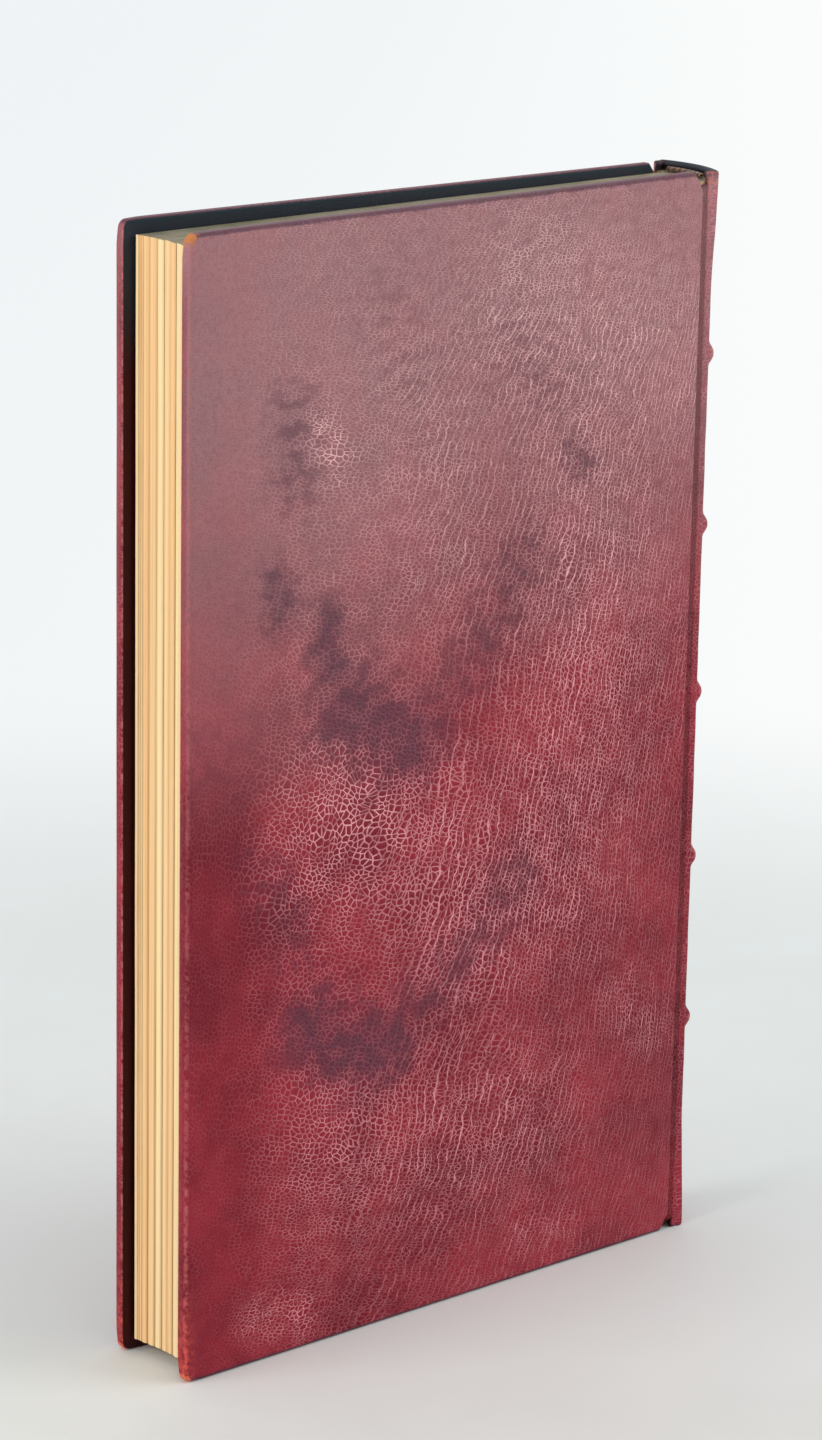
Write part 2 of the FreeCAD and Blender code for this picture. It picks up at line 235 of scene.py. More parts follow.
def table_material():
    """Matt table near the book, darker towards the front as painted shade, and a white ground beyond
    it, greyer to the left as painted shade.
    """
    recipe = Recipe("pale_table")
    axes = recipe.axes()
    flat = recipe.place(axes[0], axes[1])
    distance = recipe.add("ShaderNodeVectorMath", {0: flat}, operation="LENGTH").outputs[1]
    share = recipe.times(recipe.fade(distance, TABLE_NEAR, TABLE_FAR), recipe.seen())

    # Painted shade, greyer to the left.
    across = recipe.calc("SUBTRACT", axes[0], axes[1])
    ground = recipe.mix(recipe.fade(across, *GROUND_TURNS), GROUND_LEFT, GROUND_RIGHT)
    # Painted shade, darker towards the front.
    depth = recipe.plus(axes[0], axes[1])
    paper = recipe.mix(recipe.fade(depth, *TABLE_SHADE_SPAN), TABLE_FRONT_SHADE, TABLE_COOL)
    stipple = recipe.mix(recipe.cloud(0.03, 5.0), paper, TABLE_MOTTLE)
    relief = recipe.relief(recipe.cloud(0.002), 0.00005)
    matt = {"Base Color": stipple, "Roughness": 0.7, "Normal": relief}
    table = recipe.add("ShaderNodeBsdfPrincipled", matt).outputs[0]
    white = recipe.add("ShaderNodeEmission", {0: ground}).outputs[0]
    surface = recipe.add("ShaderNodeMixShader", {0: share, 1: table, 2: white}).outputs[0]
    recipe.add("ShaderNodeOutputMaterial", {"Surface": surface})
    return recipe.material


def make_floor():
    bm = bmesh.new()
    bmesh.ops.create_circle(bm, cap_ends=True, radius=FLOOR_REACH, segments=96)
    mesh = bpy.data.meshes.new("table")
    bm.to_mesh(mesh)
    bm.free()
    table = bpy.data.objects.new("table", mesh)
    bpy.context.collection.objects.link(table)
    mesh.materials.append(table_material())


make_floor()
print("table reaches", FLOOR_REACH, "m")

# %% [markdown]
# The cover faces a tall window light on the right. A weaker light on the left opens the
# fore-edge, one overhead catches the head, and the white room fills the rest. The grey sheen
# near the head of the cover could come from a lamp set like a mirror image, but it would slide
# as the eye moves. So it is a painted sheen in the leather's colour, with a little real fading, and
# the leather's own marks paint it.
# %% Lights
def window_light(name, place, aim, width, height, power):
    """A rectangle of light that faces the point aim."""
    lamp = bpy.data.lights.new(name, "AREA")
    lamp.shape = "RECTANGLE"
    lamp.size = width
    lamp.size_y = height
    lamp.energy = power
    holder = bpy.data.objects.new(name, lamp)
    look = (Vector(aim) - Vector(place)).to_track_quat("-Z", "Y")
    holder.matrix_world = Matrix.Translation(place) @ look.to_matrix().to_4x4()
    bpy.context.collection.objects.link(holder)


BOOK_MIDDLE = (0.0, 0.0, 0.11)
ABOVE_MIDDLE = (0.0, 0.0, 0.30)
window_light("right_window", (0.85, -0.92, 0.62), ABOVE_MIDDLE, width=0.9, height=1.2, power=9.0)
window_light("left_window", (-1.1, 0.15, 0.55), BOOK_MIDDLE, width=0.8, height=0.8, power=7.0)
window_light("overhead", (-0.1, -0.1, 1.4), BOOK_MIDDLE, width=1.0, height=1.0, power=4.0)

# %% [markdown]
# The room round the table is white where it is seen. As a source of light it is weaker, because
# leather lit from every side loses its depth. Two strengths could be swapped by hand. Here the
# kind of ray picks one of them.
# %% Room
ROOM_FILL = 0.5
ROOM_TINT = shade(247, 250, 255)


def make_room():
    """A white room: bright to the eye, and softer as a source of light."""
    recipe = Recipe("white_room", bpy.data.worlds)
    bright = recipe.add("ShaderNodeBackground", {0: GROUND_RIGHT, 1: 1.0}).outputs[0]
    fill = recipe.add("ShaderNodeBackground", {0: ROOM_TINT, 1: ROOM_FILL}).outputs[0]
    inputs = {0: recipe.seen(), 1: fill, 2: bright}
    surface = recipe.add("ShaderNodeMixShader", inputs).outputs[0]
    recipe.add("ShaderNodeOutputWorld", {0: surface})
    scene.world = recipe.material


make_room()
print("room fill", ROOM_FILL)

# %% [markdown]
# Morocco is goatskin whose grain was boarded up into pebbles. On this skin the tops are dark
# red, the valleys have worn to pale pink, and in places the skin was stretched, so that the
# valleys run together into long creases. A grey haze, mostly painted sheen with a little real
# fading, dark stains, edges rubbed and given a painted highlight, and corners worn through to
# the bare fibre lie over that, and the turned-in leather is painted dark as shade. A picture of
# leather would stretch and repeat. Instead one set of Voronoi cells gives the pebbles, folded
# stripes give the creases, and the marks come from attributes that each piece of leather carries
# on its own vertices.
# %% Leather colours
LEATHER_DEEP = shade(114, 12, 32)
LEATHER_WARM = shade(152, 36, 52)
LEATHER_VALLEY = shade(234, 160, 166)
# The valley colour under the painted sheen.
LEATHER_VALLEY_UNDER_SHEEN = shade(238, 192, 190)
LEATHER_STAIN = shade(70, 44, 62)
# Painted sheen: the grey the leather turns near the head, mostly reflected light and a little fading.
LEATHER_HAZE_AND_SHEEN = shade(172, 139, 142)
# Rubbed rims: part real wear, part painted highlight.
LEATHER_RUBBED_HIGHLIGHT = shade(214, 128, 130)
LEATHER_RUBBED_HIGHLIGHT_TAIL = shade(214, 84, 72)
LEATHER_FIBRE = shade(222, 112, 84)
LEATHER_FIBRE_HEAD = shade(196, 122, 74)
# Painted shade on the turned-in leather, and a painted teal reflection at the head.
LEATHER_TURN_IN_SHADE = shade(44, 6, 9)
LEATHER_TURN_IN_HEAD_REFLECTION = shade(24, 46, 54)
print("leather from", LEATHER_DEEP[:3], "to", LEATHER_WARM[:3])

# %% Size of the grain
PEBBLE_WIDTH = 0.00135
PEBBLE_SQUASH = 0.80
PEBBLE_DISORDER = 0.85
ROW_WIDTH = 0.0022
ROW_TILT = math.radians(-17)
PEBBLE_DEPTH = 0.00008
CREASE_DEPTH = 0.00006
PORE_DEPTH = 0.00003
SWELL_DEPTH = 0.0004

# Each wander of the skin has a size and a reach.
SKIN_STRETCH = (0.060, 0.015)
SKIN_SWAY = (0.011, 0.0045)
SKIN_QUIVER = (0.0022, 0.0007)
ROW_QUIVER = (0.0020, 0.0015)
print("pebbles", PEBBLE_WIDTH / MM, "mm wide, creases", ROW_WIDTH / MM, "mm apart")


# %% Pebbles and creases
def grain_lines(recipe):
    """The place in a pebble, the long creases, all the valleys, and the patches they come in."""
    skin = recipe.place(recipe.mark("across"), recipe.mark("up"))
    bent = recipe.drift(*SKIN_STRETCH, skin)
    moved = recipe.drift(*SKIN_QUIVER, recipe.drift(*SKIN_SWAY, bent))
    laid = recipe.spot(moved, (0, 0, ROW_TILT), (1, PEBBLE_SQUASH, 1))
    pebble = recipe.seams(PEBBLE_WIDTH, laid, PEBBLE_DISORDER)
    striped = recipe.drift(*ROW_QUIVER, moved)
    striped = recipe.spot(striped, (0, 0, ROW_TILT), (ROW_WIDTH, ROW_WIDTH, 1))
    crease = recipe.calc("PINGPONG", recipe.axes(striped)[0], 0.5)

    rows = recipe.mark("rows")
    patches = recipe.fade(recipe.cloud(0.005, 4.0, 0.6, skin), 0.35, 0.62, 0.35, 1.0)
    fine = recipe.times(recipe.fade(pebble, 0.02, 0.145, 1.0, 0.0), patches)
    fine = recipe.times(fine, recipe.fade(rows, 0.0, 1.0, 1.0, 0.55))
    breaks = recipe.fade(recipe.cloud(0.006, 4.0, 0.7, bent), 0.38, 0.58, 0.20, 1.0)
    long = recipe.times(recipe.fade(crease, 0.03, 0.11, 1.0, 0.0), breaks)
    long = recipe.times(long, recipe.fade(rows, 0.1, 1.0, 0.0, 0.85))
    return pebble, long, recipe.calc("MAXIMUM", fine, long), patches


# %% Dye, haze and stains
HAZE_RAGGED = 0.20
STAIN_RAGGED = 0.55
FRECKLES = 0.38


def dyed_skin(recipe, patches):
    """Uneven red dye under a grey haze of painted sheen, dark stains and freckles. It hands back the
    stains too.
    """
    uneven = recipe.fade(recipe.cloud(0.020, 5.0), 0.3, 0.7)
    colour = recipe.mix(uneven, LEATHER_DEEP, LEATHER_WARM)
    ragged = recipe.calc("SUBTRACT", recipe.cloud(0.014, 7.0, 0.66), 0.5)
    # Painted sheen: a grey haze that lightens the leather towards the head.
    haze_and_sheen = recipe.mark("haze_and_sheen")
    haze = recipe.plus(haze_and_sheen, recipe.times(ragged, HAZE_RAGGED), clamp=True)
    haze = recipe.times(haze, recipe.fade(haze_and_sheen, 0.0, 0.15))
    colour = recipe.mix(haze, colour, LEATHER_HAZE_AND_SHEEN)

    pool = recipe.mark("stain")
    edge = recipe.plus(pool, recipe.times(ragged, STAIN_RAGGED))
    edge = recipe.plus(edge, recipe.fade(patches, 0.35, 1.0, 0.12, -0.16))
    stain = recipe.fade(edge, 0.0, 1.15, 0.0, 0.80)
    stain = recipe.times(stain, recipe.fade(pool, 0.0, 0.35))
    colour = recipe.mix(stain, colour, LEATHER_STAIN)

    freckle = recipe.fade(recipe.cloud(0.0011, 4.0, 0.7), 0.42, 0.66)
    among = recipe.fade(recipe.mark("rows"), 0.0, 1.0, 0.5, 1.0)
    freckles = recipe.times(recipe.times(freckle, among), FRECKLES)
    return recipe.mix(freckles, colour, LEATHER_DEEP), stain


# %% Pale valleys, rubbed rims and bare fibre
RUB_TURNS_PINK = (0.0, 0.045)
FIBRE_TURNS_BROWN = (0.05, 0.16)
TURN_IN_REFLECTION_SPAN = (0.186, 0.208)


def worn_skin(recipe, colour, valley, stain):
    """Pale valleys, paler under the painted sheen, rims rubbed light with a painted highlight, corners
    worn to the fibre, and the turned-in edge painted dark as shade, teal near the head as a painted
    reflection.
    """
    # The valleys turn paler where the painted sheen lies.
    dust_and_sheen = recipe.times(recipe.mark("haze_and_sheen"), 1.4, clamp=True)
    pale = recipe.mix(dust_and_sheen, LEATHER_VALLEY, LEATHER_VALLEY_UNDER_SHEEN)
    grain = recipe.times(valley, recipe.mark("grain"), clamp=True)
    grain = recipe.times(grain, recipe.fade(stain, 0.0, 0.8, 1.0, 0.3))
    colour = recipe.mix(grain, colour, pale)

    level = recipe.axes()[2]
    patchy = recipe.fade(recipe.cloud(0.0011, 5.0), 0.35, 0.65)
    # Rubbed rims: part real wear, part painted highlight.
    rubbed = recipe.times(recipe.mark("rub_and_highlight"), patchy, clamp=True)
    pink = recipe.fade(level, *RUB_TURNS_PINK)
    colour = recipe.mix(rubbed, colour, recipe.mix(pink, LEATHER_RUBBED_HIGHLIGHT_TAIL, LEATHER_RUBBED_HIGHLIGHT))

    torn = recipe.plus(recipe.mark("scuff"), recipe.times(patchy, 0.4))
    bare = recipe.fade(torn, 0.55, 0.95)
    brown = recipe.fade(level, *FIBRE_TURNS_BROWN)
    colour = recipe.mix(bare, colour, recipe.mix(brown, LEATHER_FIBRE, LEATHER_FIBRE_HEAD))

    # Painted shade on the turned-in leather, with a painted teal reflection of the room near the head.
    teal_reflection = recipe.fade(level, *TURN_IN_REFLECTION_SPAN)
    inner = recipe.mix(teal_reflection, LEATHER_TURN_IN_SHADE, LEATHER_TURN_IN_HEAD_REFLECTION)
    return recipe.mix(recipe.mark("turn_in"), colour, inner), bare


# %% Morocco leather
def morocco():
    """Red goatskin: the colours above over a relief of pebbles, creases, pores and swells."""
    recipe = Recipe("red_morocco")
    pebble, long, valley, patches = grain_lines(recipe)
    colour, stain = dyed_skin(recipe, patches)
    colour, bare = worn_skin(recipe, colour, valley, stain)

    flat_turn_in = recipe.fade(recipe.mark("turn_in"), 0.0, 0.8, 1.0, 0.15)
    raised = recipe.fade(recipe.mark("grain"), 0.0, 0.8, 0.35, 1.0)
    height = recipe.times(recipe.fade(pebble, 0.0, 0.35), PEBBLE_DEPTH)
    height = recipe.times(recipe.times(height, raised), flat_turn_in)
    layers = (
        (recipe.times(long, -1.0), CREASE_DEPTH),
        (recipe.cloud(0.0005, 3.0), PORE_DEPTH),
        (recipe.cloud(0.03, 2.0), SWELL_DEPTH),
    )
    for layer, depth in layers:
        height = recipe.plus(height, recipe.times(layer, depth))
    relief = recipe.relief(height, 1.0)
    roughness = recipe.fade(recipe.calc("MAXIMUM", valley, bare), 0.0, 1.0, 0.40, 0.62)
    return recipe.finish(colour, roughness, relief, Specular_IOR_Level=0.14)


MOROCCO = morocco()
print("leather nodes", len(MOROCCO.node_tree.nodes))

# %% [markdown]
# Each piece of new geometry is drawn in millimetres, flat and square, in the frame of its own
# hinge or of the spine, and then laid in place by one matrix. Its marks are float layers on
# the vertices, painted by a function of the place while it is still flat.
# %% Frames and helpers
COVER_SPLAY = math.radians(2.55)
SPINE_LEAN = math.radians(4.0)
REAR_HINGE = HINGES["rear_cover_hinge"]
FRONT_HINGE = HINGES["front_cover_hinge"]
REAR_PLACE = Matrix.Translation(REAR_HINGE)
FRONT_PLACE = Matrix.Translation(FRONT_HINGE) @ Matrix.Rotation(-COVER_SPLAY, 4, "Z")
SPINE_PLACE = Matrix.Translation((REAR_HINGE + FRONT_HINGE) / 2) @ Matrix.Rotation(-SPINE_LEAN, 4, "Z")


def paint(bm, marks):
    """Give each vertex its marks. Each mark has a name and a function of the vertex's place."""
    for name, strength in marks.items():
        layer = bm.verts.layers.float.new(name)
        for vert in bm.verts:
            vert[layer] = strength(vert.co)


def settle(bm, name, place, finishes):
    """Turn a bmesh drawn in millimetres into a smooth piece at its place."""
    bmesh.ops.transform(bm, matrix=place @ Matrix.Scale(MM, 4), verts=bm.verts)
    bmesh.ops.recalc_face_normals(bm, faces=bm.faces)
    mesh = bpy.data.meshes.new(name)
    bm.to_mesh(mesh)
    bm.free()
    mesh.shade_smooth()
    for finish in finishes:
        mesh.materials.append(finish)
    piece = bpy.data.objects.new(name, mesh)
    bpy.context.collection.objects.link(piece)
    print(name, len(mesh.polygons), "faces")
    return piece


def near(value, goal, slack=0.01):
    return abs(value - goal) < slack


def ease(value):
    """A smooth step from 0 to 1."""
    value = max(0.0, min(1.0, value))
    return value * value * (3 - 2 * value)


# %% [markdown]
# A cover is a pasteboard wrapped in leather. The leather goes round the rim, is turned in by
# 14 mm over the inside, and leaves a window there for the pastedown. It could be a sheet wrapped
# by simulation, but the form is known: a slab with rounded corners and rims, whose window is
# opened, and which is then given the thickness of the leather.
# %% Cover sizes
HEIGHT = CAD_BOX[1][2] / MM
JOINT_GAP = 0.35
STANDOFF = 0.15
COVER_THICK = 2.5
CORNER_RADIUS = 1.5
OUTER_RIM = 0.8
INNER_RIM = 0.4
BACK_CUT_RUN = 2.4
BACK_CUT_DROP = 3.2
TURN_IN = 14.0
LEATHER_THICK = 0.45
GRID = 1.5
REAR_REACH = (REAR_HINGE.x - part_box("rear_cover_leather")[0].x) / MM
FRONT_WIDTH = 126.2
FRONT_REACH = JOINT_GAP + FRONT_WIDTH
print("rear reach", round(REAR_REACH, 2), "front reach", FRONT_REACH)


# %% A plain slab with its corners
def slice_at(bm, place, normal, keep_all=True):
    """Cut every face along a plane. The side that the normal points to can be dropped."""
    whole = bm.verts[:] + bm.edges[:] + bm.faces[:]
    return bmesh.ops.bisect_plane(
        bm, geom=whole, plane_co=place, plane_no=normal, clear_outer=not keep_all
    )["geom_cut"]


def cover_slab(reach):
    """The outer form: rounded fore-edge corners and corners cut off beside the headcaps."""
    bm = bmesh.new()
    bmesh.ops.create_cube(bm, size=1)
    bmesh.ops.scale(bm, vec=(reach - JOINT_GAP, COVER_THICK, HEIGHT), verts=bm.verts)
    middle = (-(reach + JOINT_GAP) / 2, STANDOFF + COVER_THICK / 2, HEIGHT / 2)
    bmesh.ops.translate(bm, vec=middle, verts=bm.verts)
    corners = [edge for edge in bm.edges
               if all(near(vert.co.x, -reach) for vert in edge.verts)
               and near(edge.verts[0].co.z, edge.verts[1].co.z)]
    bmesh.ops.bevel(bm, geom=corners, offset=CORNER_RADIUS, affect="EDGES", segments=5,
                    profile=0.5, material=-1)
    for level, way in ((0, -1), (HEIGHT, 1)):
        cut = slice_at(bm, (-JOINT_GAP, 0, level - way * BACK_CUT_DROP),
                       (BACK_CUT_DROP, 0, way * BACK_CUT_RUN), keep_all=False)
        edges = [item for item in cut if isinstance(item, bmesh.types.BMEdge)]
        bmesh.ops.holes_fill(bm, edges=edges)
    return bm


# %% Rims, grid and window
def round_rims(bm):
    """Round the outside rim more than the inside one."""
    for depth, radius in ((STANDOFF, OUTER_RIM), (STANDOFF + COVER_THICK, INNER_RIM)):
        rim = [edge for edge in bm.edges if all(near(vert.co.y, depth) for vert in edge.verts)]
        bmesh.ops.bevel(bm, geom=rim, offset=radius, affect="EDGES", segments=4,
                        profile=0.5, material=-1)


def lay_grid(bm, reach):
    """Slice the slab into small squares, which can be shaped and painted."""
    for step in range(1, int((reach - JOINT_GAP) / GRID)):
        slice_at(bm, (-reach + step * GRID, 0, 0), (1, 0, 0))
    for step in range(1, int(HEIGHT / GRID)):
        slice_at(bm, (0, 0, step * GRID), (0, 0, 1))


def open_window(bm, reach):
    """Take out the inside face where the pastedown lies."""
    slice_at(bm, (-reach + TURN_IN, 0, 0), (1, 0, 0))
    slice_at(bm, (0, 0, TURN_IN), (0, 0, 1))
    slice_at(bm, (0, 0, HEIGHT - TURN_IN), (0, 0, 1))
    inside = STANDOFF + COVER_THICK
    window = []
    for face in bm.faces:
        spot = face.calc_center_median()
        across = -reach + TURN_IN < spot.x < -JOINT_GAP - INNER_RIM
        if near(spot.y, inside) and across and TURN_IN < spot.z < HEIGHT - TURN_IN:
            window.append(face)
    bmesh.ops.delete(bm, geom=window, context="FACES")


# %% [markdown]
# The rear cover is the face that the camera sees. Long dark stains sweep over it, perhaps from
# wet hands, with two blue-black blots. The valleys are palest right of the middle, while the
# skin near the fore-edge was pressed smooth. Each stroke below has a strength, a reach and a
# line, in millimetres from the fore-edge and from the tail.
# %% Marks on the rear cover
REAR_STAINS = [
    (0.75, 9.0, [(20.5, 151), (21.5, 144)]),
    (0.90, 9.0, [(33, 142), (31, 137), (35, 131)]),
    (0.95, 19.0, [(38, 124), (46, 118), (54, 116)]),
    (0.60, 15.0, [(56, 118), (66, 126), (73, 135), (80, 147)]),
    (0.55, 13.0, [(24, 183), (24, 168)]),
    (0.30, 18.0, [(46, 198), (52, 186)]),
    (0.42, 20.0, [(78, 186), (86, 180)]),
    (0.65, 8.0, [(92, 166), (96, 162)]),
    (0.45, 14.0, [(16, 98), (22, 88), (26, 76)]),
    (0.95, 18.0, [(30, 64), (38, 58), (48, 57)]),
    (0.58, 15.0, [(50, 59), (62, 66), (72, 74), (80, 82)]),
    (0.30, 22.0, [(2, 120), (12, 116)]),
]
REAR_GRAIN = [
    (0.85, 28.0, [(38, 102), (60, 96), (70, 74)]),
    (0.85, 36.0, [(98, 172), (100, 120), (88, 84)]),
    (0.50, 26.0, [(56, 180), (62, 150)]),
    (0.80, 7.0, [(31, 178), (35, 171)]),
    (0.60, 9.0, [(108, 54), (118, 44)]),
    (0.55, 7.0, [(16, 9), (28, 7)]),
    (0.45, 6.0, [(84, 9), (96, 8)]),
    (1.00, 34.0, [(84, 194), (122, 178)]),
    (0.60, 30.0, [(42, 38), (80, 34)]),
]


def pooled(marks, across, up):
    """How much of a set of soft strokes lies on a point."""
    spot = Vector((across, up, 0))
    total = 0.0
    for strength, reach, line in marks:
        gap = reach
        for start, end in zip(line, line[1:]):
            first, last = Vector((*start, 0)), Vector((*end, 0))
            foot, share = geometry.intersect_point_line(spot, first, last)
            foot = first if share < 0 else last if share > 1 else foot
            gap = min(gap, (spot - foot).length)
        total = max(total, strength * ease(1 - gap / reach))
    return total


print("stains", len(REAR_STAINS), "patches of grain", len(REAR_GRAIN))

# %% [markdown]
# Marks like these could be brushed on in paint mode. As functions of the place they stay right
# when the grid gets finer. Each answers how strong its mark is at one point of the flat cover.
# %% Where the haze and the pebbles change
# The haze is mostly painted sheen.
HAZE_START = 82
HAZE_SHIFT = 16
HAZE_SPAN = 114
TIGHTEN_ACROSS = (50, 8.0e-5)
TIGHTEN_UP = (90, 3.5e-5)


def tighten(value, middle, amount):
    """Stretch a measure away from a middle, so that the pebbles get finer towards the rims."""
    return value + amount * (value - middle) ** 3


print("90 mm to the tail count as", round(90 - tighten(0, *TIGHTEN_UP), 1), "mm of pebbles")


# %% Painting a cover
def cover_marks(bm, reach, stains, grain, plain_grain, corners, haze):
    """Stains, grain, a haze that is mostly painted sheen, rims rubbed and given a painted highlight,
    worn corners, and the turned-in edge painted dark as shade.
    """
    middle = STANDOFF + COVER_THICK / 2

    def from_fore(spot):
        return spot.x + reach

    def rim_gap(spot):
        return min(spot.z, HEIGHT - spot.z)

    def wrap(spot, gap):
        return (spot.y - STANDOFF) * ease(1 - gap / 4)

    def across(spot):
        return (tighten(from_fore(spot), *TIGHTEN_ACROSS) - wrap(spot, from_fore(spot))) * MM

    def up(spot):
        way = 1 if spot.z > HEIGHT / 2 else -1
        return (tighten(spot.z, *TIGHTEN_UP) + way * wrap(spot, rim_gap(spot))) * MM

    def stain(spot):
        soil = 1.5 * ease(1.2 - rim_gap(spot) / 0.9)
        pools = pooled(stains, from_fore(spot), spot.z) if spot.y < middle else 0.0
        return max(soil, pools)

    def pale_grain(spot):
        smooth_edge = 0.25 + 0.75 * ease((from_fore(spot) - 6) / 26)
        return plain_grain * smooth_edge + pooled(grain, from_fore(spot), spot.z)

    def rows(spot):
        towards_back = ease((from_fore(spot) - 38 + abs(spot.z - 120) / 6) / 40)
        return (0.25 + 0.75 * towards_back) * (1 - 0.5 * ease((spot.z - 180) / 30))

    # Painted sheen: a grey haze rising towards the head, less on the inside face.
    def haze_and_sheen(spot):
        inner = ease((spot.y - STANDOFF - 0.5) / 0.6)
        below_head = ease((HEIGHT - 2 - spot.z) / 14)
        start = HAZE_START + HAZE_SHIFT * ease((from_fore(spot) - 30) / 50)
        return haze * ease((spot.z - start) / HAZE_SPAN) * (1 - 0.7 * inner * below_head)

    # Rubbed rims: part real wear, part painted highlight on the rounded edges.
    def rub_and_highlight(spot):
        outer = math.hypot(from_fore(spot), spot.y - STANDOFF)
        inner = math.hypot(from_fore(spot), spot.y - STANDOFF - COVER_THICK)
        worn = 0.35 + 0.45 * ease(1 - spot.z / 60)
        low = ease(1 - spot.z / 24) * ease(1.2 - from_fore(spot) / 2.5)
        return worn * ease(1.6 - outer / 0.5) + 0.7 * ease(1.6 - inner / 0.3) + 0.55 * low

    def scuff(spot):
        gaps = [(math.hypot(from_fore(spot), spot.z - level), size) for level, size in corners]
        return max(ease(1.25 - gap / size) for gap, size in gaps)

    # Where the turned-in leather is painted dark as shade.
    def turn_in(spot):
        return 0.95 if spot.y > STANDOFF + COVER_THICK - 0.05 else 0.0

    paint(bm, {"across": across, "up": up, "stain": stain, "grain": pale_grain, "rows": rows,
               "haze_and_sheen": haze_and_sheen, "rub_and_highlight": rub_and_highlight, "scuff": scuff, "turn_in": turn_in})


# %% Soft corners and an uneven skin
CORNER_CRUSH = 0.35
CRUSH_REACH = 5.0
SKIN_WANDER = 0.10
WANDER_SIZE = 22


def soften_cover(bm, reach):
    """Blunt the fore-edge corners and let the face wander by a tenth of a millimetre."""
    middle = STANDOFF + COVER_THICK / 2
    for vert in bm.verts:
        spot = vert.co
        for level in (0.0, HEIGHT):
            gap = math.hypot(spot.x + reach, spot.z - level)
            crush = CORNER_CRUSH * ease(1 - gap / CRUSH_REACH)
            spot.x += crush * 0.8
            spot.z += crush * (0.5 if level == 0 else -0.5)
            spot.y += (middle - spot.y) * crush * 0.5
        if spot.y < middle:
            away_from_joint = ease((-spot.x - 1.5) / 5)
            swell = 0.5 + 0.5 * noise.noise(Vector((spot.x, 7, spot.z)) / WANDER_SIZE)
            spot.y += SKIN_WANDER * away_from_joint * swell


print("corners blunted by", CORNER_CRUSH, "mm")

# %% Build both covers
REAR_LOOK = {"stains": REAR_STAINS, "grain": REAR_GRAIN, "plain_grain": 0.40,
             "corners": [(HEIGHT, 2.4), (0, 2.4)], "haze": 0.60}
FRONT_LOOK = {"stains": [], "grain": [], "plain_grain": 0.70, "corners": [(0, 1.6)], "haze": 0.35}


def make_cover(side, place, reach, mirrored, look):
    bm = cover_slab(reach)
    round_rims(bm)
    lay_grid(bm, reach)
    open_window(bm, reach)
    cover_marks(bm, reach, **look)
    soften_cover(bm, reach)
    if mirrored:
        bmesh.ops.scale(bm, vec=(1, -1, 1), verts=bm.verts)
    cover = settle(bm, side + "_cover_skin", place, [MOROCCO])
    wall = cover.modifiers.new("leather", "SOLIDIFY")
    wall.thickness = LEATHER_THICK * MM
    wall.offset = -1
    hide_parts(side + "_cover_leather")
    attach(cover, side + "_cover")


make_cover("rear", REAR_PLACE, REAR_REACH, False, REAR_LOOK)
make_cover("front", FRONT_PLACE, FRONT_REACH, True, FRONT_LOOK)

# %% [markdown]
# The back is leather drawn tightly over the cords, so five bands stand up across it, and it
# is folded over at head and tail into headcaps. It could be carved from a block by cutting, but
# it is a skin, so a closed profile of it, with both folds, is swept from one joint over the
# shoulder, round the back and down to the other joint. The bands are then pushed outwards.
# %% Spine sizes
BACK_CENTRE = -16.05
SKIN_RADIUS = 20.05
SHOULDER_HALF = 8.1
RIDGE_RADIUS = 1.0
SPINE_LEATHER = 0.7
FOLD_REACH = 1.25
BAND_RISE = 1.2
BAND_HALF_WIDTH = 2.3
FLARE = 0.75
FLARE_REACH = 26.0
PROFILE_STEPS = 330

# The ridge between the shoulder and the back: its centre, and the turn from straight to round.
RIDGE_Y = SHOULDER_HALF - RIDGE_RADIUS
RIDGE_X = BACK_CENTRE + math.sqrt((SKIN_RADIUS - RIDGE_RADIUS) ** 2 - RIDGE_Y ** 2)
ARC_HALF = math.atan2(RIDGE_Y, RIDGE_X - BACK_CENTRE)


def cord_level(number):
    low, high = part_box("sewing_cord_%d" % number)
    return (low.z + high.z) / 2 / MM


BAND_LEVELS = [cord_level(number) for number in range(1, 6)]
print("bands at", [round(level, 1) for level in BAND_LEVELS])


# %% Profile of the back leather
def spine_profile(bm):
    """A closed loop in the plane of the joint: skin, head fold, lining side and tail fold."""
    fold = [(0, 0.55), (0.12, 0.2), (0.45, 0.0), (0.85, 0.05), (FOLD_REACH, 0.45),
            (FOLD_REACH, 0.9), (SPINE_LEATHER, 1.25)]
    head = [(depth, HEIGHT - gap) for depth, gap in fold]
    tail = [(depth, gap) for depth, gap in reversed(fold)]
    verts = [bm.verts.new((JOINT_GAP, depth - SHOULDER_HALF, level)) for depth, level in head + tail]
    edges = [bm.edges.new(pair) for pair in zip(verts, verts[1:] + verts[:1])]
    tall = [edge for edge in edges if edge.calc_length() > HEIGHT / 2]
    bmesh.ops.subdivide_edges(bm, edges=tall, cuts=PROFILE_STEPS)
    return bm.edges[:]


# %% Sweep round the back
def sweep(bm, edges, centre, angle, steps):
    swept = bmesh.ops.spin(bm, geom=edges, cent=(centre[0], centre[1], 0), axis=(0, 0, 1),
                           angle=angle, steps=steps, use_merge=False, use_duplicate=False)
    return [item for item in swept["geom_last"] if isinstance(item, bmesh.types.BMEdge)]


def pull(bm, edges, run, steps):
    for _ in range(steps):
        made = bmesh.ops.extrude_edge_only(bm, edges=edges)["geom"]
        verts = [item for item in made if isinstance(item, bmesh.types.BMVert)]
        bmesh.ops.translate(bm, vec=Vector(run) / steps, verts=verts)
        edges = [item for item in made if isinstance(item, bmesh.types.BMEdge)
                 and all(vert in set(verts) for vert in item.verts)]
    return edges


